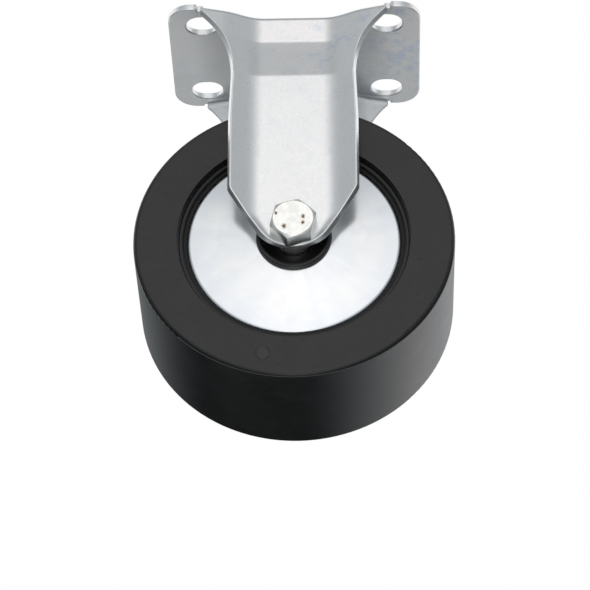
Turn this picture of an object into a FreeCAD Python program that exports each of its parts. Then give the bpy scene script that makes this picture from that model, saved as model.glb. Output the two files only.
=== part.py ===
import FreeCAD, Part
import math
import os
import re
import Sketcher
from FreeCAD import Vector

# Fixed castor: a pressed steel fork, a moulded wheel on two ball bearings, and an axle bolt.
# Millimetres. The origin is the centre of the plate's top face, +Z points up out of that face,
# X is the rolling direction and Y is the axle, with the bolt's head on the -Y side.

doc = FreeCAD.newDocument("FixedCastor")
sheet = doc.addObject("Spreadsheet::Sheet", "Sizes")

# Driving dimensions: every alias has an underscore, which is how formulas below are recognised
SIZES = {
    # Fork: top plate with four slots
    "plate_length": 82.0,
    "plate_width": 53.5,
    "sheet_gauge": 2.3,
    "ear_corner": 7.5,
    "slot_pitch_x": 60.0,
    "slot_pitch_y": 35.5,
    "slot_length": 10.4,
    "slot_width": 9.0,
    "notch_width": 2.0,
    "notch_depth": 1.85,
    # Fork: side view of a leg, from the bend down to the tip
    "leg_clear": 2.1,
    "bend_radius": 6.5,
    "bend_land": 1.0,
    "shoulder_drop": 15.5,
    "shoulder_lean": 15.0,
    "neck_drop": 29.1,
    "neck_lean": 5.5,
    "crease_radius": 8.0,
    # Fork: cross-section of a leg, a shallow channel open to the outside
    "floor_half": 12.6,
    "flange_lean": 26.0,
    "flange_fold": 9.0,
    "flare_lean": 15.0,
    "flare_fold": 12.0,
    "root_half": 30.6,
    # Fork: front view of the blank
    "flare_radius": 36.0,
    "neck_half": 19.7,
    "leg_half": 20.35,
    "leg_straight": 46.0,
    "taper_angle": 57.0,
    "tip_radius": 13.3,
    "tip_drop": 7.4,
    "lip_angle": 60.0,
    "lip_rise": 5.5,
    "lip_fold": 3.0,
    # Wheel
    "axle_drop": 86.6,
    "wheel_radius": 50.0,
    "wheel_width": 41.3,
    "tread_edge": 1.3,
    "ledge_sink": 1.8,
    "groove_width": 1.0,
    "ledge_start": 1.3,
    "ledge_end": 2.2,
    "face_start": 3.1,
    "skirt_land": 1.6,
    "web_thick": 6.0,
    "hub_radius": 20.0,
    "hub_width": 36.0,
    "hub_bore": 14.0,
    "rib_thick": 3.2,
    "rib_sink": 3.5,
    "rib_count": 8,
    # Dust covers and hub seals
    "cover_radius": 33.4,
    "cover_dip": 0.15,
    "cover_gauge": 0.8,
    "cover_hole": 11.8,
    "cover_height": 1.85,
    "cover_skirt": 2.2,
    "cover_fold": 1.2,
    "seal_flange": 14.5,
    "seal_collar": 11.65,
    "seal_lip": 10.2,
    "seal_bore": 6.6,
    "seal_height": 3.5,
    "bowl_height": 1.4,
    "seal_web": 0.7,
    "seal_round": 0.5,
    # Ball bearings
    "bearing_bore": 12.0,
    "bearing_outside": 32.0,
    "bearing_width": 10.0,
    "inner_shoulder": 8.3,
    "outer_shoulder": 13.6,
    "ball_size": 5.95,
    "ball_pitch": 22.0,
    "ball_count": 7,
    "race_gap": 0.06,
    "race_open": 0.18,
    "cage_thick": 1.6,
    "cage_width": 7.4,
    "cage_gap": 0.15,
    "shield_seat": 14.1,
    "shield_gauge": 0.3,
    "shield_inset": 0.35,
    "shield_gap": 0.25,
    # Axle: hex bolt and locking nut, with a spacer sleeve between the legs
    "bolt_size": 8.0,
    "bolt_flats": 13.0,
    "bolt_face": 6.2,
    "bolt_head": 5.3,
    "bolt_turn": 16.5,
    "bolt_tail": 3.0,
    "bolt_chamfer": 1.0,
    "axle_hole": 8.4,
    "nut_flats": 13.0,
    "nut_face": 6.2,
    "nut_height": 8.0,
    "nut_hex": 5.6,
    "nut_collar": 6.0,
    "nut_lip": 0.4,
    "insert_outside": 10.6,
    "insert_height": 2.0,
    "hex_slope": 30.0,
    "fit_gap": 0.03,
    # The legs stand clear of the seals' rims
    "leg_gap": "=hub_width + 2 * (seal_height + leg_clear)",
}

for row, (alias, value) in enumerate(SIZES.items(), start=1):
    sheet.set("A%d" % row, alias)
    sheet.set("B%d" % row, str(value))
    sheet.setAlias("B%d" % row, alias)
doc.recompute()


def size(alias):
    """The sheet's value for one alias, as a number."""
    return float(sheet.get(alias))


def formula(text):
    """A formula on aliases, in the form that properties bind to."""
    return re.sub(r"\b[a-z]+_[a-z_]+\b", r"Sizes.\g<0>", text)


def bind(thing, **formulas):
    """Tie properties of one object to formulas on the sheet."""
    for prop, text in formulas.items():
        thing.setExpression(prop, formula(text))
    return thing


def place(thing, y="0", end=1):
    """Move an object to the axle's height and along it; end -1 turns it round to face the front."""
    turn = FreeCAD.Rotation(Vector(0, 0, 1), 90 - 90 * end)
    thing.Placement = FreeCAD.Placement(Vector(0, 0, 0), turn)
    thing.setExpression("Placement.Base.y", formula("%d * (%s)" % (end, y)))
    thing.setExpression("Placement.Base.z", formula("-axle_drop"))
    return thing


def origin_plane(body, role):
    """One of the body's own origin features."""
    return [feature for feature in body.Origin.OriginFeatures if feature.Role == role][0]


def new_body(name):
    body = doc.addObject("PartDesign::Body", name)
    body.Label = name
    return body


def outline_sketch(body, name, role, corners):
    """A closed sketch of straight lines whose corners are formulas for its two coordinates."""
    sketch = body.newObject("Sketcher::SketchObject", name)
    sketch.AttachmentSupport = (origin_plane(body, role), [""])
    sketch.MapMode = "FlatFace"
    count = len(corners)
    ring = [Vector(math.cos(2 * math.pi * i / count), math.sin(2 * math.pi * i / count), 0) for i in range(count)]
    for i in range(count):
        sketch.addGeometry(Part.LineSegment(ring[i], ring[(i + 1) % count]), False)
    for i in range(count):
        sketch.addConstraint(Sketcher.Constraint("Coincident", i, 2, (i + 1) % count, 1))
    for i, (across, up) in enumerate(corners):
        for kind, text, now in (("DistanceX", across, ring[i].x), ("DistanceY", up, ring[i].y)):
            index = sketch.addConstraint(Sketcher.Constraint(kind, i, 1, now))
            sketch.setExpression("Constraints[%d]" % index, formula(text))
    return sketch


def circle_sketch(body, name, role, centre, radius):
    """A sketch of one circle, its centre and radius given by formulas."""
    sketch = body.newObject("Sketcher::SketchObject", name)
    sketch.AttachmentSupport = (origin_plane(body, role), [""])
    sketch.MapMode = "FlatFace"
    sketch.addGeometry(Part.Circle(Vector(1, 1, 0), Vector(0, 0, 1), 1), False)
    for kind, text in (("DistanceX", centre[0]), ("DistanceY", centre[1])):
        index = sketch.addConstraint(Sketcher.Constraint(kind, 0, 3, 1))
        sketch.setExpression("Constraints[%d]" % index, formula(text))
    index = sketch.addConstraint(Sketcher.Constraint("Radius", 0, 1))
    sketch.setExpression("Constraints[%d]" % index, formula(radius))
    return sketch


def both_ends(corners):
    """An outline that is alike at both ends: the corners, then their images across the middle plane."""
    return corners + [(across, "-(%s)" % up) for across, up in reversed(corners)]


def turned_body(name, corners):
    """A body turned about the axle from an outline of (radius, distance along the axle)."""
    body = new_body(name)
    sketch = outline_sketch(body, name + "_outline", "XY_Plane", corners)
    turn = body.newObject("PartDesign::Revolution", name + "_turn")
    turn.Profile = sketch
    turn.ReferenceAxis = (sketch, ["V_Axis"])
    turn.Angle = 360
    return body


def turned_cut(body, name, sketch):
    """A groove turned about the axle, which has to take something off the body."""
    doc.recompute()
    before = body.Shape.Volume
    groove = body.newObject("PartDesign::Groove", name)
    groove.Profile = sketch
    groove.ReferenceAxis = (sketch, ["V_Axis"])
    groove.Angle = 360
    doc.recompute()
    if body.Shape.Volume >= before:
        raise RuntimeError(name + " cuts nothing")
    return groove


def pad(body, name, sketch, length, backwards=False):
    """A straight pad of a sketch, along its normal or against it."""
    feature = body.newObject("PartDesign::Pad", name)
    feature.Profile = sketch
    feature.Reversed = backwards
    return bind(feature, Length=length)


def around_axle(body, name, feature, count):
    """Repeat a feature of the body evenly around the axle."""
    pattern = body.newObject("PartDesign::PolarPattern", name)
    pattern.Originals = [feature]
    pattern.Axis = (origin_plane(body, "Y_Axis"), [""])
    pattern.Angle = 360
    bind(pattern, Occurrences=count)
    body.Tip = pattern
    return pattern


def circle_edges(body, where):
    """The body's last feature and those of its full circles that the test `where` picks by radius and place."""
    doc.recompute()
    picked = []
    for number, edge in enumerate(body.Tip.Shape.Edges, start=1):
        if isinstance(edge.Curve, Part.Circle) and edge.Closed and where(edge.Curve.Radius, edge.Curve.Center.y):
            picked.append("Edge%d" % number)
    return body.Tip, picked


def round_edges(body, name, radius, where):
    """Round the full circles that the test picks."""
    edges = circle_edges(body, where)
    fillet = body.newObject("PartDesign::Fillet", name)
    fillet.Base = edges
    return bind(fillet, Radius=radius)


def bevel_edges(body, name, width, where):
    """Bevel the full circles that the test picks."""
    edges = circle_edges(body, where)
    bevel = body.newObject("PartDesign::Chamfer", name)
    bevel.Base = edges
    return bind(bevel, Size=width)


# Fork: one pressed sheet, a plate with four ears and two channel legs
gauge = size("sheet_gauge")
web_face = size("leg_gap") / 2 + gauge
axle_z = -size("axle_drop")
tip_z = axle_z - size("tip_drop")
clear = 5.0


def slope(alias):
    """Tangent of an angle on the sheet."""
    return math.tan(math.radians(size(alias)))


def set_off(points, distance, normal):
    """The parallel of a line of points, mitred at its corners, to the left seen along the normal."""
    legs = [(after - before).normalize() for before, after in zip(points, points[1:])]
    sides = [normal.cross(leg) for leg in legs]
    moved = []
    for point, before, after in zip(points, sides[:1] + sides, sides + sides[-1:]):
        middle = (before + after).normalize()
        moved.append(point + middle * (distance / middle.dot(before)))
    return moved


def rounded_path(points, radii):
    """Edges through a line of points, with an arc of the given radius at each inner corner."""
    edges = []
    last = points[0]
    for before, corner, after, radius in zip(points, points[1:], points[2:], radii):
        inwards = (before - corner).normalize()
        onwards = (after - corner).normalize()
        half = inwards.getAngle(onwards) / 2
        start = corner + inwards * (radius / math.tan(half))
        end = corner + onwards * (radius / math.tan(half))
        middle = corner + (inwards + onwards).normalize() * (radius / math.sin(half) - radius)
        edges.append(Part.LineSegment(last, start).toShape())
        edges.append(Part.Arc(start, middle, end).toShape())
        last = end
    return edges + [Part.LineSegment(last, points[-1]).toShape()]


def block(points, travel):
    """A straight-sided solid: a closed outline of points, pushed along a vector."""
    return Part.Face(Part.makePolygon(points + points[:1])).extrude(travel)


# Side view of the outer face: land of the plate, shoulder, neck, then plumb down past the tip
neck_y = -web_face
shoulder_y = neck_y + (size("neck_drop") - size("shoulder_drop")) * slope("neck_lean")
corner_y = shoulder_y + size("shoulder_drop") * slope("shoulder_lean")
bend_turn = math.radians(90 - size("shoulder_lean"))
bend_start = corner_y + size("bend_radius") * math.tan(bend_turn / 2)
side_view = [
    Vector(0, bend_start + size("bend_land"), 0),
    Vector(0, corner_y, 0),
    Vector(0, shoulder_y, -size("shoulder_drop")),
    Vector(0, neck_y, -size("neck_drop")),
    Vector(0, neck_y, tip_z - clear),
]
side_radii = [size("bend_radius"), size("crease_radius"), size("crease_radius")]

# Cross-section of the outer face: floor, flanges that lean outwards, then the flatter flare
flange_rise = (size("leg_half") - size("floor_half")) * slope("flange_lean")
flare_end = size("root_half") + clear
flare_rise = flange_rise + (flare_end - size("leg_half")) * slope("flare_lean")
right_section = [
    Vector(size("floor_half"), 0, 0),
    Vector(size("leg_half"), -flange_rise, 0),
    Vector(flare_end, -flare_rise, 0),
]
section = [Vector(-point.x, point.y, 0) for point in reversed(right_section)] + right_section
section_radii = [size("flare_fold"), size("flange_fold"), size("flange_fold"), size("flare_fold")]


def leg_core(depth, back):
    """All that lies behind the leg's face, set in by `depth`: the side view carried along the section.

    Every place on the face is the sum of a point of the side view and a point of the section."""
    profile = set_off(side_view, depth, Vector(1, 0, 0))
    folds = [radius - depth for radius in side_radii]
    path = set_off(section, depth, Vector(0, 0, 1))
    bends = [radius + turn * depth for radius, turn in zip(section_radii, (-1, 1, 1, -1))]
    path = [point - Vector(0, depth, 0) for point in path]
    last = profile[-1]
    heel = Vector(0, back, last.z)
    top = Vector(0, back, profile[0].z)
    closing = Part.makePolygon([last, heel, top, profile[0]]).Edges
    outline = Part.Wire(Part.__sortEdges__(rounded_path(profile, folds) + closing))
    outline.translate(path[0])
    spine = Part.Wire(Part.__sortEdges__(rounded_path(path, bends)))
    sweep = Part.BRepOffsetAPI.MakePipeShell(spine)
    sweep.setTrihedronMode(Vector(0, 0, 0), Vector(1, 0, 0))
    sweep.setTransitionMode(1)
    sweep.add(outline)
    sweep.build()
    sweep.makeSolid()
    core = sweep.shape()
    for side in (-1, 1):
        core = core.fuse(lip_core(depth, back, side))
    return core


def lip_core(depth, back, side):
    """What lies behind the small lip beside the tip: a folded section pushed along the lip's line."""
    angle = math.radians(size("lip_angle"))
    along = Vector(side * math.cos(angle), 0, math.sin(angle))
    across = Vector(side * math.sin(angle), 0, -math.cos(angle))
    start = Vector(side * size("floor_half"), -web_face, axle_z + size("lip_rise"))
    reach = 2 * clear
    inward = across * -size("lip_fold")
    outward = across * reach - Vector(0, reach * slope("flange_lean"), 0)
    line = [start + inward, start, start + outward]
    line = set_off(line, depth, along * side)
    edges = rounded_path(line, [size("lip_fold") + depth])
    corners = [line[-1], Vector(line[-1].x, 0, line[-1].z), Vector(line[0].x, 0, line[0].z), line[0]]
    face = Part.Face(Part.Wire(Part.__sortEdges__(edges + Part.makePolygon(corners).Edges)))
    face.translate(along * -(4 * clear))
    return face.extrude(along * (8 * clear))


def round_point(centre_x, centre_z, radius, degrees):
    """A point on a circle in the front view."""
    angle = math.radians(degrees)
    return Vector(centre_x + radius * math.cos(angle), 0, centre_z + radius * math.sin(angle))


def blank():
    """The leg's flat blank in front view, as a bar along Y: flares, straight sides, taper, round tip."""
    radius = size("flare_radius")
    flare_x = size("neck_half") + radius
    flare_turn = math.degrees(math.acos((flare_x - size("root_half")) / radius))
    flare = [round_point(flare_x, -size("neck_drop"), radius, 180 - turn)
             for turn in (flare_turn, flare_turn / 2, 0)]
    tip = [round_point(0, tip_z + size("tip_radius"), size("tip_radius"), degrees - 90)
           for degrees in (size("taper_angle"), 0, -size("taper_angle"))]
    corner_z = tip[0].z + (size("leg_half") - tip[0].x) * slope("taper_angle")
    side = [flare[2], Vector(size("leg_half"), 0, -size("leg_straight")),
            Vector(size("leg_half"), 0, corner_z), tip[0]]
    right = [Part.LineSegment(Vector(size("root_half"), 0, clear), flare[0]).toShape(), Part.Arc(*flare).toShape()]
    right += Part.makePolygon(side).Edges
    left = [edge.mirror(Vector(0, 0, 0), Vector(1, 0, 0)) for edge in right]
    top = Part.LineSegment(Vector(size("root_half"), 0, clear), Vector(-size("root_half"), 0, clear)).toShape()
    wire = Part.Wire(Part.__sortEdges__(right + left + [Part.Arc(*tip).toShape(), top]))
    return Part.Face(wire).extrude(Vector(0, -2 * web_face, 0))


def front_leg():
    """The leg on the bolt head's side, with its half of the plate between the two bends."""
    sheet_metal = leg_core(0, 0).cut(leg_core(gauge, clear))
    return sheet_metal.common(blank())


def plate():
    """The top plate with four rounded ears, open where each leg bends down, and a notch beside each bend."""
    half_x = size("plate_length") / 2
    half_y = size("plate_width") / 2
    pad = Part.makeBox(2 * half_x, 2 * half_y, gauge, Vector(-half_x, -half_y, -gauge))
    corners = [edge for edge in pad.Edges if abs(edge.Length - gauge) < 0.001]
    pad = pad.makeFillet(size("ear_corner"), corners)
    side = size("root_half")
    land = bend_start + size("bend_land")
    root = land - flange_rise - (side - size("leg_half")) * slope("flare_lean")
    notch = side + size("notch_width")
    notch_end = size("notch_depth") - half_y
    right = [Vector(size("floor_half"), land, clear), Vector(side, root, clear), Vector(side, notch_end, clear),
             Vector(notch, notch_end, clear), Vector(notch, -2 * web_face, clear)]
    left = [Vector(-point.x, point.y, clear) for point in reversed(right)]
    opening = block(left + right, Vector(0, 0, -3 * clear))
    return pad.cut(opening).cut(opening.mirror(Vector(0, 0, 0), Vector(0, 1, 0)))


def slot(x, y):
    """One bolt slot along X, cut through the plate."""
    radius = size("slot_width") / 2
    straight = size("slot_length") - size("slot_width")
    low = Vector(x - straight / 2, y, -3 * gauge)
    tool = Part.makeCylinder(radius, 5 * gauge, low)
    tool = tool.fuse(Part.makeCylinder(radius, 5 * gauge, low + Vector(straight, 0, 0)))
    return tool.fuse(Part.makeBox(straight, 2 * radius, 5 * gauge, low - Vector(0, radius, 0)))


def fork_shape():
    leg = front_leg()
    shape = plate().fuse([leg, leg.mirror(Vector(0, 0, 0), Vector(0, 1, 0))]).removeSplitter()
    for side_x in (-1, 1):
        for side_y in (-1, 1):
            shape = shape.cut(slot(side_x * size("slot_pitch_x") / 2, side_y * size("slot_pitch_y") / 2))
    axle = Part.makeCylinder(size("axle_hole") / 2, 4 * web_face, Vector(0, -2 * web_face, axle_z), Vector(0, 1, 0))
    return shape.cut(axle).Solids[0]


fork = doc.addObject("Part::Feature", "fork")
fork.Label = "fork"
fork.Shape = fork_shape()
fork.Placement = FreeCAD.Placement()

# Wheel: one moulding, with a seat for a cover and a bearing in each side and ribs between hub and rim
FACE = "wheel_width / 2"
LEDGE = "wheel_width / 2 - ledge_sink"
COVER = "hub_width / 2 - cover_dip"
SHELF = "hub_width / 2 - cover_dip - cover_skirt"
RIM_INNER = "cover_radius - skirt_land"
BEARING_SEAT = "bearing_outside / 2 + fit_gap"
BEARING_STOP = "hub_width / 2 - bearing_width"
wheel = turned_body("wheel", both_ends([
    ("wheel_radius", FACE),
    ("cover_radius + face_start", FACE),
    ("cover_radius + ledge_end", LEDGE),
    ("cover_radius + ledge_start", LEDGE),
    ("cover_radius + groove_width", COVER),
    ("cover_radius + fit_gap", COVER),
    ("cover_radius + fit_gap", SHELF),
    (RIM_INNER, SHELF),
    (RIM_INNER, "web_thick / 2"),
    ("hub_radius", "web_thick / 2"),
    ("hub_radius", "hub_width / 2"),
    (BEARING_SEAT, "hub_width / 2"),
    (BEARING_SEAT, BEARING_STOP),
    ("hub_bore", BEARING_STOP),
]))
round_edges(wheel, "tread_edges", "tread_edge", lambda radius, y: radius > size("wheel_radius") - 0.01)
rib_sketch = outline_sketch(wheel, "rib_outline", "XY_Plane", both_ends([
    (RIM_INNER + " + rib_thick / 2", "hub_width / 2 - rib_sink"),
    ("hub_radius - rib_thick / 2", "hub_width / 2 - rib_sink"),
]))
rib = pad(wheel, "rib", rib_sketch, "rib_thick")
rib.Midplane = True
around_axle(wheel, "ribs", rib, "rib_count")
place(wheel)


def dust_cover(name, end):
    """A pressed disc, coned towards the hub, with a rolled skirt that stands in the wheel's seat."""
    crown = "hub_width / 2 + cover_height"
    slant = "(%s - (%s)) / (cover_radius - cover_hole)" % (crown, COVER)
    body = turned_body(name, [
        ("cover_hole", crown),
        ("cover_radius", COVER),
        ("cover_radius", SHELF),
        ("cover_radius - cover_gauge", SHELF),
        ("cover_radius - cover_gauge", "%s - cover_gauge + cover_gauge * %s" % (COVER, slant)),
        ("cover_hole", crown + " - cover_gauge"),
    ])
    doc.recompute()
    fold_y = size("hub_width") / 2 - size("cover_dip")
    outer = size("cover_radius")
    round_edges(body, name + "_fold", "cover_fold", lambda radius, y: radius > outer - 0.01 and y > fold_y - 0.01)
    round_edges(body, name + "_inner_fold", "cover_fold - cover_gauge",
                lambda radius, y: abs(radius - outer + size("cover_gauge")) < 0.01 and y > fold_y - 2 * size("cover_gauge"))
    return place(body, end=end)


def hub_seal(name, end):
    """A moulded collar: its flange lies under the cover, and its bowl closes in on the spacer sleeve."""
    neck = "seal_collar - seal_web"
    seat = "hub_width / 2 + fit_gap"
    bowl = "hub_width / 2 + bowl_height"
    rim = "hub_width / 2 + seal_height"
    body = turned_body(name, [
        ("seal_bore", bowl + " - seal_web"),
        ("seal_bore", bowl),
        ("seal_lip", bowl),
        ("seal_lip", rim),
        ("seal_collar", rim),
        ("seal_collar", seat + " + seal_web"),
        ("seal_flange", seat + " + seal_web"),
        ("seal_flange", seat),
        (neck, seat),
        (neck, bowl + " - seal_web"),
    ])
    rim_y = size("hub_width") / 2 + size("seal_height")
    round_edges(body, name + "_lip", "seal_round", lambda radius, y: y > rim_y - 0.01)
    return place(body, end=end)


def bearing(name, end):
    """A deep-groove ball bearing between hub and sleeve: two rings, balls in a cage, a shield each side."""
    middle = "hub_width / 2 - bearing_width / 2"
    shield_back = "bearing_width / 2 - shield_inset - shield_gauge"
    track = "ball_size / 2 + race_open"
    outer_ring = turned_body(name + "_outer_ring", both_ends([
        ("bearing_outside / 2", "bearing_width / 2"),
        ("shield_seat", "bearing_width / 2"),
        ("shield_seat", shield_back),
        ("outer_shoulder", shield_back),
    ]))
    centre = "ball_pitch / 2 + race_gap - race_open"
    turned_cut(outer_ring, name + "_outer_track",
               circle_sketch(outer_ring, name + "_outer_circle", "XY_Plane", (centre, "0"), track))
    inner_ring = turned_body(name + "_inner_ring", both_ends([
        ("inner_shoulder", "bearing_width / 2"),
        ("bearing_bore / 2", "bearing_width / 2"),
    ]))
    centre = "ball_pitch / 2 - race_gap + race_open"
    turned_cut(inner_ring, name + "_inner_track",
               circle_sketch(inner_ring, name + "_inner_circle", "XY_Plane", (centre, "0"), track))
    cage = turned_body(name + "_cage", both_ends([
        ("ball_pitch / 2 + cage_thick / 2", "cage_width / 2"),
        ("ball_pitch / 2 - cage_thick / 2", "cage_width / 2"),
    ]))
    doc.recompute()
    ring_volume = cage.Shape.Volume
    pocket = cage.newObject("PartDesign::Pocket", name + "_pocket")
    pocket.Profile = circle_sketch(cage, name + "_pocket_circle", "YZ_Plane", ("0", "0"), "ball_size / 2 + cage_gap")
    pocket.Reversed = True
    bind(pocket, Length="ball_pitch")
    doc.recompute()
    if cage.Shape.Volume >= ring_volume:
        raise RuntimeError(name + "_pocket cuts nothing")
    around_axle(cage, name + "_pockets", pocket, "ball_count")
    balls = []
    for number in range(int(size("ball_count"))):
        ball = doc.addObject("Part::Sphere", "%s_ball_%d" % (name, number + 1))
        bind(ball, Radius="ball_size / 2")
        ball.setExpression("Placement.Base.x", formula("ball_pitch / 2 * cos(%d * 360 / ball_count)" % number))
        ball.setExpression("Placement.Base.z", formula("ball_pitch / 2 * sin(%d * 360 / ball_count)" % number))
        balls.append(ball)
    ball_group = doc.addObject("Part::Compound", name + "_balls")
    ball_group.Label = name + "_balls"
    ball_group.Links = balls
    pieces = [place(piece, middle, end) for piece in (outer_ring, inner_ring, cage, ball_group)]
    for side, facing in (("shield_out", 1), ("shield_in", -1)):
        shield = turned_body(name + "_" + side, [
            ("inner_shoulder + shield_gap", shield_back),
            ("inner_shoulder + shield_gap", shield_back + " + shield_gauge"),
            ("shield_seat - fit_gap", shield_back + " + shield_gauge"),
            ("shield_seat - fit_gap", shield_back),
        ])
        pieces.append(place(shield, "%d * (%s)" % (facing, middle), end * facing))
    return pieces


def hexagon(body, name, flats, turn):
    """A hexagon sketch across the axle, one corner turned from +X by an angle."""
    corners = []
    for number in range(6):
        angle = "(%s + %d * 60)" % (turn, number)
        reach = "%s / 2 / cos(30)" % flats
        corners.append(("%s * cos%s" % (reach, angle), "%s * sin%s" % (reach, angle)))
    return outline_sketch(body, name, "XZ_Plane", corners)


def hex_bevel(body, name, flats, face, at, into):
    """Turn the six corners off a hexagon's end: `at` is the end's place and `into` points into the metal."""
    sketch = outline_sketch(body, name + "_outline", "XY_Plane", [
        (face, at),
        (flats, at),
        (flats, "%s + %d * (%s - %s) * tan(hex_slope)" % (at, into, flats, face)),
    ])
    return turned_cut(body, name, sketch)


# Axle bolt: hexagon head on the front leg, plain shank through both legs and the sleeve
LEG_FACE = "leg_gap / 2 + sheet_gauge"
axle_bolt = new_body("axle_bolt")
pad(axle_bolt, "head", hexagon(axle_bolt, "head_outline", "bolt_flats", "bolt_turn"), "bolt_head")
hex_bevel(axle_bolt, "head_bevel", "bolt_flats", "bolt_face", "-bolt_head", 1)
pad(axle_bolt, "shank", circle_sketch(axle_bolt, "shank_outline", "XZ_Plane", ("0", "0"), "bolt_size / 2"),
    "leg_gap + 2 * sheet_gauge + nut_height + bolt_tail", backwards=True)
bevel_edges(axle_bolt, "shank_bevel", "bolt_chamfer", lambda radius, y: y > size("leg_gap"))
place(axle_bolt, "-(%s)" % LEG_FACE)

# Locking nut: hexagon with a rolled collar that holds a plastic ring
BORE = "bolt_size / 2 + fit_gap"
INSERT_TOP = "nut_height - nut_lip"
INSERT_SEAT = "nut_height - nut_lip - insert_height"
axle_nut = new_body("axle_nut")
pad(axle_nut, "nut_hexagon", hexagon(axle_nut, "nut_outline", "nut_flats", "0"), "nut_hex", backwards=True)
hex_bevel(axle_nut, "nut_seat_bevel", "nut_flats", "nut_face", "0 * nut_hex", 1)
hex_bevel(axle_nut, "nut_top_bevel", "nut_flats", "nut_face", "nut_hex", -1)
pad(axle_nut, "collar", circle_sketch(axle_nut, "collar_outline", "XZ_Plane", ("0", "0"), "nut_collar"),
    "nut_height", backwards=True)
turned_cut(axle_nut, "nut_bore", outline_sketch(axle_nut, "bore_outline", "XY_Plane", [
    ("0", "-nut_lip"),
    (BORE, "-nut_lip"),
    (BORE, INSERT_SEAT),
    ("insert_outside / 2", INSERT_SEAT),
    ("insert_outside / 2", INSERT_TOP),
    ("insert_outside / 2 - nut_lip", INSERT_TOP),
    ("insert_outside / 2 - nut_lip", "nut_height + nut_lip"),
    ("0", "nut_height + nut_lip"),
]))
place(axle_nut, LEG_FACE)
nut_insert = turned_body("nut_insert", [
    (BORE, INSERT_SEAT),
    (BORE, INSERT_TOP + " - fit_gap"),
    ("insert_outside / 2 - fit_gap", INSERT_TOP + " - fit_gap"),
    ("insert_outside / 2 - fit_gap", INSERT_SEAT),
])
place(nut_insert, LEG_FACE)

# Spacer sleeve: clamped between the legs, it carries the inner rings
spacer_sleeve = turned_body("spacer_sleeve", both_ends([
    ("bearing_bore / 2 - fit_gap", "leg_gap / 2"),
    (BORE, "leg_gap / 2"),
]))
place(spacer_sleeve)

nodes = [fork, wheel, axle_bolt, axle_nut, nut_insert, spacer_sleeve]
for side, end in (("front", -1), ("back", 1)):
    nodes.append(dust_cover("dust_cover_" + side, end))
    nodes.append(hub_seal("hub_seal_" + side, end))
    nodes.extend(bearing("bearing_" + side, end))
doc.recompute()

for thing in doc.Objects:
    if "Invalid" in thing.State or "Error" in thing.State:
        raise RuntimeError(thing.Label + " failed to build")
for node in nodes:
    if node.Shape.isNull() or not node.Shape.isValid():
        raise RuntimeError(node.Label + " has no valid shape")

os.makedirs("parts", exist_ok=True)
for node in nodes:
    node.Shape.exportStep("parts/%s.step" % node.Label)
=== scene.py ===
import math

import bpy
import numpy as np
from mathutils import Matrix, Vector
from mathutils.geometry import tessellate_polygon


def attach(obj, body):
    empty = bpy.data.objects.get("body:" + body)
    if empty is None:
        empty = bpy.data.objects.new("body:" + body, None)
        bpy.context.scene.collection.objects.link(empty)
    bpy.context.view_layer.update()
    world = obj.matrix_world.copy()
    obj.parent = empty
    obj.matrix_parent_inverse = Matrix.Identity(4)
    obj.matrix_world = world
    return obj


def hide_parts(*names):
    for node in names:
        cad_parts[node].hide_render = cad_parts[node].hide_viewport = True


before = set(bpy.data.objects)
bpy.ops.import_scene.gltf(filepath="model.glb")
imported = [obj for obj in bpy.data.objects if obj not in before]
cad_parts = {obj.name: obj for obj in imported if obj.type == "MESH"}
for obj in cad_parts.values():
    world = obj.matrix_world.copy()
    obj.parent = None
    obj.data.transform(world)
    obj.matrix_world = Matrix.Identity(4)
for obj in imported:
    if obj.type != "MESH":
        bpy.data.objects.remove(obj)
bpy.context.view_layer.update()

# Fork: one sheet of steel, blanked, pressed into a slotted plate with two channel-shaped legs, and
# zinc plated. Its cut edges stand square to the sheet, and tumbling has rounded their burr off. The
# plating is smooth and bluish in patches, with faint rolling lines, scuffs and shallow press dents.


class Wire:
    """One socket of a finish. Arithmetic on it adds Math nodes, so a mask reads as its formula."""

    def __init__(self, finish, socket):
        self.finish = finish
        self.socket = socket

    def other(self, name):
        """Another output of the same node."""
        return Wire(self.finish, self.socket.node.outputs[name])

    def __add__(self, value):
        return self.finish.maths("ADD", self, value)

    def __sub__(self, value):
        return self.finish.maths("SUBTRACT", self, value)

    def __rsub__(self, value):
        return self.finish.maths("SUBTRACT", value, self)

    def __mul__(self, value):
        return self.finish.maths("MULTIPLY", self, value)

    def __truediv__(self, value):
        return self.finish.maths("DIVIDE", self, value)

    def __pow__(self, value):
        return self.finish.maths("POWER", self, value)

    def __abs__(self):
        return self.finish.maths("ABSOLUTE", self)

    __radd__ = __add__
    __rmul__ = __mul__


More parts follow.
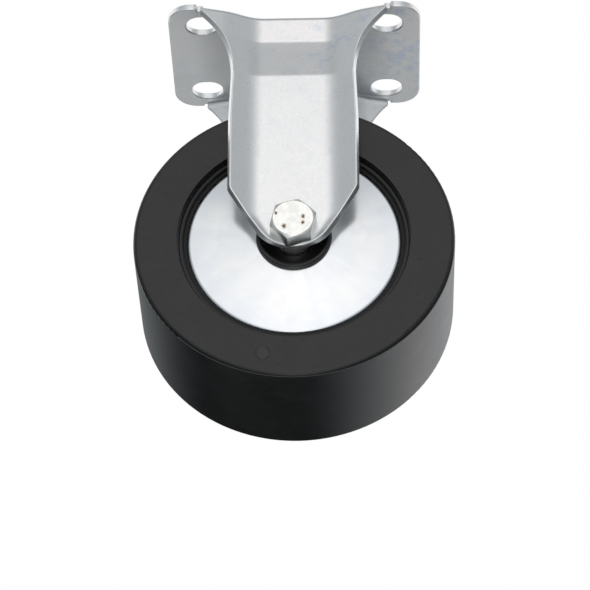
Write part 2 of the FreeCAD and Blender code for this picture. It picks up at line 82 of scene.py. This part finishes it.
class Finish:
    """The node tree of a material or of the world."""

    def __init__(self, owner):
        owner.use_nodes = True
        self.tree = owner.node_tree
        self.tree.nodes.clear()

    def node(self, kind, settings=None, sockets=None, output=0):
        """Add a node: its settings first, then the values or links of its sockets."""
        made = self.tree.nodes.new("ShaderNode" + kind)
        for name, value in (settings or {}).items():
            setattr(made, name, value)
        for name, value in (sockets or {}).items():
            if isinstance(value, Wire):
                self.tree.links.new(value.socket, made.inputs[name])
            else:
                made.inputs[name].default_value = value
        return Wire(self, made.outputs[output]) if made.outputs else made

    def maths(self, operation, *values):
        return self.node("Math", {"operation": operation}, dict(enumerate(values)))

    def place(self):
        """Where a point lies on the part, in millimetres."""
        metres = self.node("TexCoord", output="Object")
        return self.node("VectorMath", {"operation": "SCALE"}, {0: metres, "Scale": 1000.0})

    def axes(self, vector):
        """The three coordinates of a vector."""
        split = self.node("SeparateXYZ", {}, {0: vector})
        return split, split.other("Y"), split.other("Z")

    def vector(self, x, y, z):
        return self.node("CombineXYZ", {}, {0: x, 1: y, 2: z})

    def length(self, a, b):
        """How long a line is that runs a one way and b square to it."""
        return (a ** 2.0 + b ** 2.0) ** 0.5

    def cloud(self, where, per_mm, detail=3.0, roughness=0.5):
        """Soft noise between about 0.3 and 0.7, `per_mm` patches to the millimetre."""
        return self.node("TexNoise", {}, {"Vector": where, "Scale": per_mm, "Detail": detail,
                                          "Roughness": roughness})

    def rise(self, value, start, end):
        """0 below `start`, 1 above `end`, with a soft step between them."""
        return self.node("MapRange", {"interpolation_type": "SMOOTHSTEP"},
                         {"Value": value, "From Min": start, "From Max": end})

    def fall(self, value, start, end):
        """1 below `start`, 0 above `end`, with a soft step between them."""
        return 1.0 - self.rise(value, start, end)

    def band(self, value, start, full, ending, end):
        """1 from `full` to `ending`, and 0 below `start` and above `end`."""
        return self.rise(value, start, full) * self.fall(value, ending, end)

    def blend(self, share, colour, onto):
        """A share of 0 gives the first colour and 1 the second. The Mix node holds its colours in
        inputs 6 and 7 and gives the result at output 2."""
        return self.node("Mix", {"data_type": "RGBA"}, {0: share, 6: colour, 7: onto}, 2)

    def bump(self, height, millimetres):
        """The normal of a surface raised by `height` times a depth."""
        return self.node("Bump", {}, {"Height": height, "Distance": millimetres / 1000.0,
                                      "Strength": 1.0})

    def surface(self, **sockets):
        """The material's Principled shader; an underscore stands for a space."""
        named = {name.replace("_", " "): value for name, value in sockets.items()}
        shader = self.node("BsdfPrincipled", {}, named)
        self.node("OutputMaterial", {}, {"Surface": shader})


# Sizes in millimetres: the sheet and the radius of its rounded edges, then the plate and its slots,
# each from the middle outwards.
GAUGE, EDGE = 2.3, 0.42
PLATE_X, PLATE_Y, EAR_CORNER = 41.0, 26.75, 7.5
NOTCH_X, NOTCH_DEPTH = 31.3, 1.0
SLOT_X, SLOT_Y, SLOT_HALF, SLOT_STRAIGHT = 30.0, 17.75, 4.5, 0.7
# Side view (y, z) of the outer face of the leg under the bolt's head, and the radius of each bend.
LEG_Y, TIP_Z, AXLE_Z = -25.9, -94.0, -86.6
SIDE_VIEW = [(-14.0, 0.0), (-20.44, 0.0), (-24.35, -14.4), (LEG_Y, -28.6), (LEG_Y, TIP_Z)]
SIDE_RADII = [5.0, 9.0, 11.0]
# Cross-section: the middle and half the length of each fold, and the lean of what follows it.
FLANGE_X, FLANGE_FOLD, FLANGE_LEAN = 12.6, 3.4, math.radians(26)
FLARE_X, FLARE_FOLD, FLARE_LEAN = 20.9, 2.4, math.radians(15)
LIP_Z, LIP_FOLD, LIP_LEAN = -81.1, 1.2, math.radians(60)
# Front view: the flared root, the neck, the leg where it is widest, the taper and the round tip.
# Each leg starts at ROOT_Y, where the sheet is still flat.
ROOT_Y, ROOT_HALF, FLARE_RADIUS = -16.55, 30.6, 36.0
NECK_Z, NECK_HALF, LEG_Z, LEG_HALF = -29.1, 19.7, -46.0, 20.35
TAPER_LEAN, ROUND_Z, ROUND_RADIUS = math.radians(33), -80.7, 13.3
# The skins stop this far inside the front view; the rounded edge and the flanges' lean make it up.
TRIM = 1.0

SILVER, PALE_BLUE = (0.93, 0.935, 0.93, 1.0), (0.74, 0.81, 0.92, 1.0)
SPECK_GREY, MOTTLE_GREY = (0.40, 0.41, 0.42, 1.0), (0.70, 0.72, 0.75, 1.0)
PAINTED_SHADE_GREY = (0.50, 0.51, 0.51, 1.0)
zinc_sheet = bpy.data.materials.new("zinc_plated_sheet")
finish = Finish(zinc_sheet)
place = finish.place()
x, y, z = finish.axes(place)
rolled = finish.cloud(finish.vector(x * 2.4, y * 2.4, z * 0.25), 1.0)
mottle = finish.cloud(place, 1.3)
blotch = finish.rise(finish.cloud(place, 0.16, 6.0, 0.75), 0.50, 0.64)
speck = finish.rise(finish.cloud(place, 1.1, 2.0), 0.72, 0.76)
bluish = 0.16 + 0.75 * finish.rise(x, -8.0, 12.0) * finish.rise(z, -48.0, -20.0)
slanted = finish.vector(x * 0.5 + z * 0.3, y * 0.5, z * 0.9 - x * 0.2)
scuff = finish.rise(finish.cloud(slanted, 1.0, 6.0, 0.8), 0.60, 0.66)
shoulder = finish.rise(z, -19.0, -11.0)
# Painted shade: the plate's underside is greyed towards the legs' roots, where the legs and the
# wheel darken it.
underside = finish.band(z, -GAUGE - 1.1, -GAUGE - 0.3, -GAUGE + 0.2, -GAUGE + 0.7)
painted_shade_by_legs = underside * finish.fall(abs(x), 23.0, 35.0)
silver = finish.blend(blotch * bluish, SILVER, PALE_BLUE)
silver = finish.blend(speck * 0.4, silver, SPECK_GREY)
silver = finish.blend(finish.rise(mottle, 0.35, 0.65) * 0.16, silver, MOTTLE_GREY)
silver = finish.blend(painted_shade_by_legs * 0.5, silver, PAINTED_SHADE_GREY)
finish.surface(
    Base_Color=silver,
    Metallic=0.92,
    Roughness=0.235 + 0.06 * mottle + 0.05 * rolled + 0.03 * scuff + 0.05 * shoulder,
    Normal=finish.bump(finish.cloud(place, 0.10, 2.0), 0.07),
)


def rounded_line(corners, radii, step):
    """Points and unit directions along straight runs joined by arcs. At a corner the direction
    turns from a to b through an angle t. The arc starts R tan(t / 2) before the corner, and its
    point at angle u is start + R (sin u) a + R (1 - cos u) m, where m is the unit across a on the
    side of b."""
    corners = np.array(corners, float)
    ways = np.diff(corners, axis=0)
    ways /= np.linalg.norm(ways, axis=1)[:, None]
    points, directions = [corners[:1]], [ways[:1]]
    for a, b, corner, radius in zip(ways, ways[1:], corners[1:], radii):
        turn = math.acos(float(a @ b))
        across = (b - a * math.cos(turn)) / math.sin(turn)
        start = corner - a * radius * math.tan(turn / 2)
        u = np.linspace(0.0, turn, max(4, int(radius * turn / step)))[:, None]
        points.append(start + radius * (np.sin(u) * a + (1 - np.cos(u)) * across))
        directions.append(np.cos(u) * a + np.sin(u) * across)
    points.append(corners[-1:])
    directions.append(ways[-1:])
    return np.concatenate(points), np.concatenate(directions)


def filled_line(points, step):
    """The same line with its longer runs cut into even steps, and which old point each follows."""
    runs = np.diff(points, axis=0)
    counts = np.maximum(1, (np.linalg.norm(runs, axis=1) / step).astype(int))
    run = np.repeat(np.arange(len(runs)), counts)
    share = (np.arange(counts.sum()) - (np.cumsum(counts) - counts)[run]) / counts[run]
    filled = points[run] + runs[run] * share[:, None]
    return np.concatenate([filled, points[-1:]]), np.append(run, len(runs))


def fold(past, half):
    """Rise and slope, per unit of steepness, at a distance past a fold's middle. The slope grows
    linearly from 0 to 1 over the fold, `half` on each side, so the rise there is a parabola."""
    into = np.clip(past + half, 0.0, 2 * half)
    return into ** 2 / (4 * half) + np.clip(past - half, 0.0, None), into / (2 * half)


def section_rise(x):
    """How far the channel's flanges stand out at a distance x from its middle, and the slope there:
    0 on the floor, the tangent of the flange's lean beside it and of the flare's lean beyond."""
    flange, flare = math.tan(FLANGE_LEAN), math.tan(FLARE_LEAN)
    first, first_slope = fold(np.abs(x) - FLANGE_X, FLANGE_FOLD)
    second, second_slope = fold(np.abs(x) - FLARE_X, FLARE_FOLD)
    slope = flange * first_slope + (flare - flange) * second_slope
    return flange * first + (flare - flange) * second, slope * np.sign(x)


def lip_rise(x, z):
    """The lip beside the tip: a ramp as steep as the flange, over the distance past a leaning line.
    It gives the rise and its slopes along x and z."""
    past = (np.abs(x) - FLANGE_X) * math.sin(LIP_LEAN) - (z - LIP_Z) * math.cos(LIP_LEAN)
    rise, slope = fold(past, LIP_FOLD)
    steep = math.tan(FLANGE_LEAN)
    return (steep * rise, steep * slope * math.sin(LIP_LEAN) * np.sign(x),
            -steep * slope * math.cos(LIP_LEAN))


def half_width(z):
    """Half the leg's width at a height z: flare arc, neck, straight side, taper, round tip."""
    above_neck = np.clip(z, NECK_Z, 0.0) - NECK_Z
    flare = NECK_HALF + FLARE_RADIUS - np.sqrt((FLARE_RADIUS + TRIM) ** 2 - above_neck ** 2)
    straight = np.interp(-z, [-NECK_Z, -LEG_Z], [NECK_HALF, LEG_HALF]) - TRIM
    side = np.where(z > NECK_Z, np.minimum(flare, ROOT_HALF - TRIM), straight)
    tip = ROUND_RADIUS - TRIM
    taper = (tip + math.sin(TAPER_LEAN) * (z - ROUND_Z)) / math.cos(TAPER_LEAN)
    ball = np.sqrt(np.clip(tip ** 2 - (z - ROUND_Z) ** 2, 0.0, None))
    touch = ROUND_Z - tip * math.sin(TAPER_LEAN)
    return np.where(z > touch, np.minimum(side, taper), ball)


class Shell:
    """A closed skin put together from patches of points that bring their own normals."""

    def __init__(self):
        self.points, self.normals, self.corners, self.count = [], [], [], 0

    def patch(self, points, normals, triangles):
        self.corners.append(np.asarray(triangles) + self.count)
        self.points.append(points)
        self.normals.append(normals)
        self.count += len(points)

    def grid(self, points, normals):
        """Rows and columns of points, two triangles to each cell."""
        rows, columns = points.shape[:2]
        index = np.arange(rows * columns).reshape(rows, columns)
        a, b, c, d = index[:-1, :-1], index[:-1, 1:], index[1:, 1:], index[1:, :-1]
        triangles = np.stack([a, b, c, a, c, d], -1).reshape(-1, 3)
        self.patch(points.reshape(-1, 3), normals.reshape(-1, 3), triangles)

    def piece(self, name, material):
        """The object in metres: equal points merged, slivers dropped, faces turned outwards."""
        points, normals = np.concatenate(self.points), np.concatenate(self.normals)
        corners = np.concatenate(self.corners)
        _, first, same = np.unique(np.round(points, 4), axis=0, return_index=True,
                                   return_inverse=True)
        joined = same.reshape(-1)[corners]
        whole = np.all(joined != np.roll(joined, 1, axis=1), axis=1)
        corners, joined = corners[whole], joined[whole]
        a, b, c = points[corners].transpose(1, 0, 2)
        facing = np.einsum("ij,ij->i", np.cross(b - a, c - a), normals[corners].sum(axis=1))
        for triangles in (corners, joined):
            triangles[facing < 0] = triangles[facing < 0][:, ::-1]
        mesh = bpy.data.meshes.new(name)
        mesh.from_pydata(points[first] / 1000.0, [], joined)
        mesh.shade_smooth()
        directions = normals[corners.reshape(-1)]
        directions /= np.linalg.norm(directions, axis=1)[:, None]
        mesh.normals_split_custom_set(directions)
        mesh.materials.append(material)
        thing = bpy.data.objects.new(name, mesh)
        bpy.context.scene.collection.objects.link(thing)
        return thing


def rim(shell, edge, up, out):
    """The sheet's cut edge below a line of points: a quarter round of radius EDGE, the wall, and a
    second quarter round. `up` is the sheet's normal along the line, and `out` points off it."""
    u = np.radians(np.linspace(0.0, 90.0, 5))
    lean = np.concatenate([np.sin(u), np.cos(u)])[:, None, None]
    lift = np.concatenate([np.cos(u), -np.sin(u)])[:, None, None]
    wall = np.repeat([EDGE, GAUGE - EDGE], len(u))[:, None, None]
    points = edge + lean * EDGE * out - (wall - lift * EDGE) * up
    shell.grid(points, lean * out + lift * up)


def leg(shell, end):
    """A leg as the sum of its side view and its cross-section: the point at (s, x) is
    (x, side view's y at s - rise at x, side view's z at s), and x runs over the blank's width.
    Each lip takes over where it stands higher than the flange, with a soft change between them.
    The hidden side lies one gauge behind along the normal. End -1 is the bolt head's side."""
    columns, tip_rows, last_straight, lip_top, softness = 85, 24, -80.0, -60.0, 0.12
    corners, directions = rounded_line(SIDE_VIEW, SIDE_RADII, step=0.5)
    line, source = filled_line(corners, step=0.9)
    ways = directions[source]
    keep = (line[:, 0] < ROOT_Y) & (line[:, 1] > last_straight)
    tip = ROUND_Z - (ROUND_RADIUS - TRIM) * np.cos(np.radians(np.linspace(87.0, 4.0, tip_rows)))
    y = np.concatenate([line[keep, 0], np.full(tip_rows, LEG_Y)])
    z = np.concatenate([line[keep, 1], tip])
    y_way = np.concatenate([ways[keep, 0], np.zeros(tip_rows)])[:, None]
    z_way = np.concatenate([ways[keep, 1], np.full(tip_rows, -1.0)])[:, None]
    x = half_width(z)[:, None] * np.linspace(-1.0, 1.0, columns)
    z = np.broadcast_to(z[:, None], x.shape)
    rise, slope = section_rise(x)
    lip, lip_x, lip_z = lip_rise(x, z)
    pick = 1 / (1 + np.exp(np.clip((rise - lip) / softness, -40, 40)))
    pick = np.where(z < lip_top, pick, 0.0)
    height = rise + pick * (lip - rise)
    across = slope + pick * (lip_x - slope)
    along = y_way - pick * lip_z * z_way
    outside = np.stack([x, y[:, None] - height, z], -1)
    step_x = np.stack([np.ones_like(x), -across, np.zeros_like(x)], -1)
    step_s = np.stack([np.zeros_like(x), along, np.broadcast_to(z_way, x.shape)], -1)
    normal = np.cross(step_s, step_x)
    normal /= np.linalg.norm(normal, axis=-1)[..., None]
    flip = np.array([1.0, -end, 1.0])
    outside, normal = outside * flip, normal * flip
    shell.grid(outside, normal)
    shell.grid(outside - GAUGE * normal, -normal)
    loop, up = [np.concatenate([rows[:, -1], rows[-1, -2:0:-1], rows[::-1, 0]])
                for rows in (outside, normal)]
    out = np.cross(np.gradient(loop, axis=0), up) * end
    out /= np.linalg.norm(out, axis=1)[:, None]
    rim(shell, loop, up, out)
    return outside[0]


def arc(centre, radius, start, end, count):
    """Points on a circle from one angle to another, in degrees."""
    turn = np.radians(np.linspace(start, end, count))
    return np.stack([centre[0] + radius * np.cos(turn), centre[1] + radius * np.sin(turn)], -1)


def plate_rim(shell, line, way):
    """The plate's cut edge along a line that has the plate on its left and runs the given way."""
    out = np.stack([way[:, 1], -way[:, 0], np.zeros(len(way))], -1)
    out /= np.linalg.norm(out, axis=1)[:, None]
    rim(shell, line, np.broadcast_to((0.0, 0.0, 1.0), line.shape), out)


def ear_side(root_y):
    """The plate's edge round the ears at +x, from one leg's root past both notches to the other."""
    root_x, low, notch = ROOT_HALF - TRIM, EDGE - PLATE_Y, NOTCH_X + EDGE
    land = low + NOTCH_DEPTH
    centre = (PLATE_X - EAR_CORNER, EAR_CORNER - PLATE_Y)
    corner = arc(centre, EAR_CORNER - EDGE, -90.0, 0.0, count=16)
    nick = [(root_x, root_y), (root_x, land), (notch, land), (notch, low)]
    half = np.concatenate([nick, corner])
    whole = np.concatenate([half, half[::-1] * (1.0, -1.0)])
    return filled_line(whole, step=0.6)[0]


def flat(line):
    """A line in plan, at the height of the plate's upper face."""
    return np.column_stack([line, np.zeros(len(line))])


shell = Shell()
front_root = leg(shell, -1.0)
back_root = leg(shell, 1.0)
right = flat(ear_side(front_root[-1, 1]))
left = (right * (-1.0, 1.0, 1.0))[::-1]
slot = np.concatenate([arc((SLOT_STRAIGHT, 0.0), SLOT_HALF + EDGE, 90.0, -90.0, count=24),
                       arc((-SLOT_STRAIGHT, 0.0), SLOT_HALF + EDGE, -90.0, -270.0, count=24)])
slots = [flat(slot + (x, y)) for x in (-SLOT_X, SLOT_X) for y in (-SLOT_Y, SLOT_Y)]
outline = np.concatenate([front_root[:-1], right[:-1], back_root[::-1][:-1], left[:-1]])
sheet = np.concatenate([outline] + slots)
triangles = tessellate_polygon([loop.tolist() for loop in [outline] + slots])
upward = np.broadcast_to((0.0, 0.0, 1.0), sheet.shape)
shell.patch(sheet, upward, triangles)
shell.patch(sheet - (0.0, 0.0, GAUGE), -upward, triangles)
for line in (right, left):
    plate_rim(shell, line, np.gradient(line, axis=0))
for line in slots:
    way = np.roll(line, -1, axis=0) - np.roll(line, 1, axis=0)
    plate_rim(shell, np.concatenate([line, line[:1]]), np.concatenate([way, way[:1]]))
fork = shell.piece("pressed_fork", zinc_sheet)
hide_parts("fork")
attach(fork, "fork_body")


# Wheel: one black moulding with matt side faces and a smoother tread, worn a little by rolling and
# handling. The gate has left a round mark on its front. The covers hide the ribs beside its hub.
def dress(material, *nodes):
    """Give CAD nodes a material in every slot."""
    for name in nodes:
        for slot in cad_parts[name].material_slots:
            slot.material = material


TREAD_RADIUS, RECESS_RADIUS = 50.0, 34.4
GATE_X, GATE_UP, GATE_RADIUS = -9.5, -42.0, 2.1
BLACK, DUSTY = (0.0040, 0.0038, 0.0040, 1.0), (0.024, 0.024, 0.024, 1.0)
wheel_moulding = bpy.data.materials.new("wheel_moulding")
finish = Finish(wheel_moulding)
place = finish.place()
x, y, z = finish.axes(place)
up = z - AXLE_Z
radius = finish.length(x, up)
tread = finish.rise(radius, TREAD_RADIUS - 0.6, TREAD_RADIUS - 0.1)
recess = finish.fall(radius, RECESS_RADIUS, RECESS_RADIUS + 1.3)
speckle = finish.cloud(place, 2.2)
worn = finish.cloud(place, 0.10, 5.0, 0.62)
drawn_out = finish.vector(x * 0.35 - up * 0.10, y * 0.3, up * 3.2 + x * 0.9)
scratch = finish.rise(finish.cloud(drawn_out, 1.0), 0.68, 0.71) * (1.0 - tread)
dust = finish.rise(finish.cloud(place, 0.9), 0.66, 0.74)
gate = finish.length(x - GATE_X, up - GATE_UP)
front = finish.fall(y, -1.0, 1.0)
ring = front * finish.band(gate, GATE_RADIUS - 0.3, GATE_RADIUS - 0.1,
                           GATE_RADIUS + 0.1, GATE_RADIUS + 0.3)
mark = front * finish.fall(gate, GATE_RADIUS - 0.2, GATE_RADIUS + 0.1)
finish.surface(
    Base_Color=finish.blend(dust * 0.5 + scratch * 0.3 + mark * 0.45, BLACK, DUSTY),
    Roughness=0.26 + 0.10 * worn + 0.06 * speckle + 0.10 * scratch - 0.12 * tread + 0.35 * recess,
    Specular_IOR_Level=0.58,
    Normal=finish.bump(0.10 * speckle + 1.2 * worn - 1.2 * ring - 0.5 * scratch, 0.05),
)
dress(wheel_moulding, "wheel")

# Dust covers: discs pressed from thin steel sheet, zinc plated, slightly coned. Polishing in the
# lathe leaves fine rings. The fans of light and shade they would draw out from the centre are
# painted into the colour, with painted shade at the rim.
COVER_WHITE, COVER_BLUE_AND_SHADE = (0.90, 0.91, 0.91, 1.0), (0.78, 0.83, 0.88, 1.0)
zinc_cover = bpy.data.materials.new("zinc_plated_cover")
finish = Finish(zinc_cover)
place = finish.place()
x, y, z = finish.axes(place)
up = z - AXLE_Z
radius = finish.length(x, up)
rings = finish.cloud(finish.vector(radius * 6.0, y, 0.0), 1.0, 4.0, 0.7)
outward = finish.vector(x / radius * 2.6, up / radius * 2.6, 0.0)
# Painted light and shade: fan-shaped bands from the centre, also used to vary the roughness.
painted_fan_bands = finish.cloud(outward, 1.0, 4.0, 0.6)
cloudy = finish.rise(finish.cloud(place, 0.09, 4.0, 0.6), 0.45, 0.62)
# Painted shade: darker and bluer towards the rim.
painted_rim_shade = finish.rise(radius, 25.0, 33.0)
bluish = 0.30 * finish.rise(painted_fan_bands, 0.38, 0.68) + 0.25 * cloudy + 0.40 * painted_rim_shade
finish.surface(
    Base_Color=finish.blend(bluish, COVER_WHITE, COVER_BLUE_AND_SHADE),
    Metallic=0.95,
    Roughness=0.15 + 0.10 * finish.cloud(place, 0.25) + 0.05 * painted_fan_bands,
    Normal=finish.bump(rings, 0.005),
)
dress(zinc_cover, "dust_cover_front", "dust_cover_back")

# Hub seals: black moulded collars that stand out of the covers' holes and close in on the axle.
# Their lips are smooth from the mould, with a faint unevenness.
seal_moulding = bpy.data.materials.new("seal_moulding")
finish = Finish(seal_moulding)
place = finish.place()
finish.surface(
    Base_Color=(0.007, 0.007, 0.007, 1.0),
    Roughness=0.22 + 0.15 * finish.cloud(place, 0.5),
    Normal=finish.bump(finish.cloud(place, 1.5, 2.0), 0.02),
)
dress(seal_moulding, "hub_seal_front", "hub_seal_back")

# Axle bolt, nut and sleeve: cold-headed steel, zinc plated to a dull creamy sheen, with specks of
# rust where the plating on the head is thin. Painted shade greys all of them but the head's front
# face.
HEAD_FACE_Y = -31.2
RUST_SPECKS = ((-5.2, 1.8, 0.55), (-2.8, -3.05, 0.75), (3.1, 0.5, 0.7), (3.05, -1.7, 0.6))
CREAM, DULL_CREAM = (0.90, 0.90, 0.87, 1.0), (0.79, 0.81, 0.77, 1.0)
FLANK_SHADE_GREY, RUST = (0.42, 0.45, 0.43, 1.0), (0.26, 0.13, 0.055, 1.0)
zinc_bolt = bpy.data.materials.new("zinc_plated_bolt")
finish = Finish(zinc_bolt)
place = finish.place()
x, y, z = finish.axes(place)
up = z - AXLE_Z
stain = finish.rise(finish.cloud(place, 0.30, 5.0, 0.7), 0.46, 0.60)
pits = finish.cloud(place, 2.6)
ragged = (pits - 0.5) * 1.6
rust = 0.0
for speck_x, speck_up, size in RUST_SPECKS:
    away = finish.length(x - speck_x, (up - speck_up) * 0.75) + ragged
    rust = finish.fall(away, size * 0.45, size) + rust
rust = rust * finish.fall(y, HEAD_FACE_Y + 0.05, HEAD_FACE_Y + 0.3)
rust = finish.maths("MINIMUM", rust, 1.0)
# Painted shade: everything behind the head's front face, its flanks and the nut included, is
# greyed.
painted_flank_shade = finish.rise(y, HEAD_FACE_Y + 0.1, HEAD_FACE_Y + 0.6)
plating_and_shade = finish.blend(painted_flank_shade * 0.6, finish.blend(stain, CREAM, DULL_CREAM), FLANK_SHADE_GREY)
finish.surface(
    Base_Color=finish.blend(rust, plating_and_shade, RUST),
    Metallic=0.92 - 0.75 * rust,
    Roughness=0.13 + 0.12 * pits + 0.45 * rust,
    Normal=finish.bump(0.25 * pits + 0.8 * finish.cloud(place, 0.5) - 0.6 * rust, 0.05),
)
dress(zinc_bolt, "axle_bolt", "axle_nut", "spacer_sleeve")

# Nut insert: a ring of off-white nylon, moulded to size. It is pressed into the locking nut, and
# the nut's collar is rolled over it.
NYLON_WHITE, NYLON_CREAM = (0.80, 0.79, 0.72, 1.0), (0.66, 0.65, 0.58, 1.0)
nylon = bpy.data.materials.new("nylon_ring")
finish = Finish(nylon)
place = finish.place()
finish.surface(
    Base_Color=finish.blend(finish.cloud(place, 0.8), NYLON_WHITE, NYLON_CREAM),
    Roughness=0.45,
    Normal=finish.bump(finish.cloud(place, 2.0), 0.03),
)
dress(nylon, "nut_insert")

# Ball bearings: hardened steel rings and balls, ground and polished, with cages and shields pressed
# from satin sheet. The rings are pressed into the wheel's hub, and the sleeve runs through them.
bearing_steel = bpy.data.materials.new("bearing_steel")
finish = Finish(bearing_steel)
place = finish.place()
finish.surface(
    Base_Color=(0.66, 0.66, 0.67, 1.0),
    Metallic=1.0,
    Roughness=0.08 + 0.08 * finish.cloud(place, 1.2),
    Normal=finish.bump(finish.cloud(place, 4.0, 2.0), 0.004),
)
cage_steel = bpy.data.materials.new("cage_steel")
finish = Finish(cage_steel)
place = finish.place()
finish.surface(
    Base_Color=(0.58, 0.58, 0.58, 1.0),
    Metallic=1.0,
    Roughness=0.25 + 0.15 * finish.cloud(place, 1.0),
    Normal=finish.bump(finish.cloud(place, 2.5), 0.02),
)
for side in ("front", "back"):
    bearing = "bearing_%s_" % side
    dress(bearing_steel, bearing + "outer_ring", bearing + "inner_ring", bearing + "balls")
    dress(cage_steel, bearing + "cage", bearing + "shield_out", bearing + "shield_in")

# Studio floor: a pale board under the castor that takes its soft shadow and thins out into the
# white backdrop. It lets the camera look up through it from below.
FLOOR_Z, FLOOR_HALF = -0.1366, 1.5
square = ((-1, -1), (1, -1), (1, 1), (-1, 1))
corners = [(FLOOR_HALF * x, FLOOR_HALF * y, FLOOR_Z) for x, y in square]
board = bpy.data.meshes.new("floor")
board.from_pydata(corners, [], [(0, 1, 2, 3)])
floor = bpy.data.objects.new("floor", board)
bpy.context.scene.collection.objects.link(floor)
floor_paint = bpy.data.materials.new("floor_paint")
finish = Finish(floor_paint)
x, y, z = finish.axes(finish.place())
paint = finish.node("BsdfDiffuse", {}, {"Color": (0.93, 0.93, 0.93, 1.0)})
clear = finish.node("BsdfTransparent")
below = finish.node("NewGeometry", output="Backfacing")
seen = finish.node("LightPath", output="Is Camera Ray")
fade = finish.rise(finish.length(x, y), 150.0, 700.0)
gone = seen * (below + fade - below * fade)
floor_look = finish.node("MixShader", {}, {0: gone, 1: paint, 2: clear})
finish.node("OutputMaterial", {}, {"Surface": floor_look})
board.materials.append(floor_paint)
floor.visible_glossy = False

# Studio light: white cards in front and overhead, grey gaps between them and a dim room behind,
# which the plating mirrors. In degrees, height is the angle above the floor, turn the angle round
# from -Y, off_back the angle from +Y, and round_back the angle round the axle from straight down.
ROOM_GREY, BEHIND_GREY, BEHIND_FLOOR = 0.41, 0.14, 0.37
CARD, HIGH_CARD, EDGE_CARD, SIDE_LIGHT = 0.80, 1.80, 0.8, 0.52
RING_GREY, RIGHT_CARD, LEFT_GLEAM = 0.02, 1.0, 0.25
room = bpy.data.worlds.new("studio")
bpy.context.scene.world = room
finish = Finish(room)
x, y, z = finish.axes(finish.node("TexCoord", output="Generated"))
degrees = 180.0 / math.pi
height = finish.maths("ARCSINE", z) * degrees
turn = finish.maths("ARCTAN2", abs(x), -1.0 * y) * degrees
off_back = finish.maths("ARCCOSINE", y) * degrees
round_back = finish.maths("ARCTAN2", x, -1.0 * z) * degrees
low_card = finish.fall(height + 0.10 * turn, 38.0, 44.5) * finish.fall(turn, 0.0, 38.0)
off_card = finish.length((height - 70.0) * 0.095, x * 5.2)
high_card = finish.fall(off_card, 0.20, 1.30) * finish.fall(y, 0.0, 0.05)
edge_card = finish.band(turn, 68.0, 82.0, 125.0, 145.0)
edge_card = edge_card * finish.band(height, 22.0, 30.0, 48.0, 58.0)
cards = low_card + HIGH_CARD * high_card + EDGE_CARD * edge_card
side_light = SIDE_LIGHT * finish.band(off_back, 37.0, 43.0, 46.0, 68.0)
low_side = finish.band(turn, 60.0, 76.0, 112.0, 128.0) * finish.fall(height, 20.0, 32.0)
gap = finish.band(height, 42.0, 46.0, 56.0, 61.0) * finish.fall(turn, 20.0, 50.0)
level = (ROOM_GREY + CARD * cards + side_light) * (1.0 - 0.75 * low_side) * (1.0 - 0.45 * gap)
behind = finish.fall(off_back, 36.0, 44.0)
behind_level = BEHIND_GREY + BEHIND_FLOOR * finish.fall(height, -26.0, -14.0)
level = level * (1.0 - behind) + behind * behind_level
right_card = finish.rise(round_back, 4.0, 100.0) - 0.40 * finish.rise(round_back, 100.0, 165.0)
left_gleam = finish.rise(-1.0 * round_back, 75.0, 140.0)
ring = finish.fall(off_back, 33.0, 37.0)
ring_level = RING_GREY + RIGHT_CARD * right_card + LEFT_GLEAM * left_gleam
level = level * (1.0 - ring) + ring * ring_level
tinted = finish.vector(level * (0.91 + 0.09 * level), level, level * (1.05 - 0.04 * level))
room_light = finish.node("Background", {}, {"Color": tinted})
backdrop = finish.node("Background", {}, {"Color": (1.0, 1.0, 1.0, 1.0)})
camera_ray = finish.node("LightPath", output="Is Camera Ray")
world_look = finish.node("MixShader", {}, {0: camera_ray, 1: room_light, 2: backdrop})
finish.node("OutputWorld", {}, {"Surface": world_look})

# Key light: one square soft box at the upper front left. It lights without showing in the plating.
LAMP_PLACE, LAMP_AIM = Vector((-0.5, -0.9, 0.9)), Vector((0.0, 0.0, -0.07))
lamp = bpy.data.lights.new("key_box", "AREA")
lamp.size = 0.6
lamp.energy = 6.0
key_box = bpy.data.objects.new("key_box", lamp)
key_box.location = LAMP_PLACE
key_box.rotation_euler = (LAMP_PLACE - LAMP_AIM).to_track_quat("Z", "Y").to_euler()
key_box.visible_glossy = False
bpy.context.scene.collection.objects.link(key_box)

# Camera: it looks up at the bolt head's side of the castor from 32 degrees below, through a long
# lens that keeps the wheel's circles nearly true. The reach is its distance in metres.
CAMERA_AIM, CAMERA_REACH = Vector((-0.00022, 0.0, -0.09507)), 0.967
CAMERA_TURN, CAMERA_RISE = math.radians(1.57), math.radians(-32.2)
back = Vector((math.sin(CAMERA_TURN) * math.cos(CAMERA_RISE),
               -math.cos(CAMERA_TURN) * math.cos(CAMERA_RISE), math.sin(CAMERA_RISE)))
lens = bpy.data.cameras.new("camera")
lens.lens = 187.7
lens.sensor_width = 36.0
camera = bpy.data.objects.new("camera", lens)
camera.location = CAMERA_AIM + back * CAMERA_REACH
camera.rotation_euler = (-back).to_track_quat("-Z", "Y").to_euler()
bpy.context.scene.collection.objects.link(camera)
bpy.context.scene.camera = camera
bpy.context.scene.view_settings.view_transform = "Standard"

bpy.context.view_layer.update()
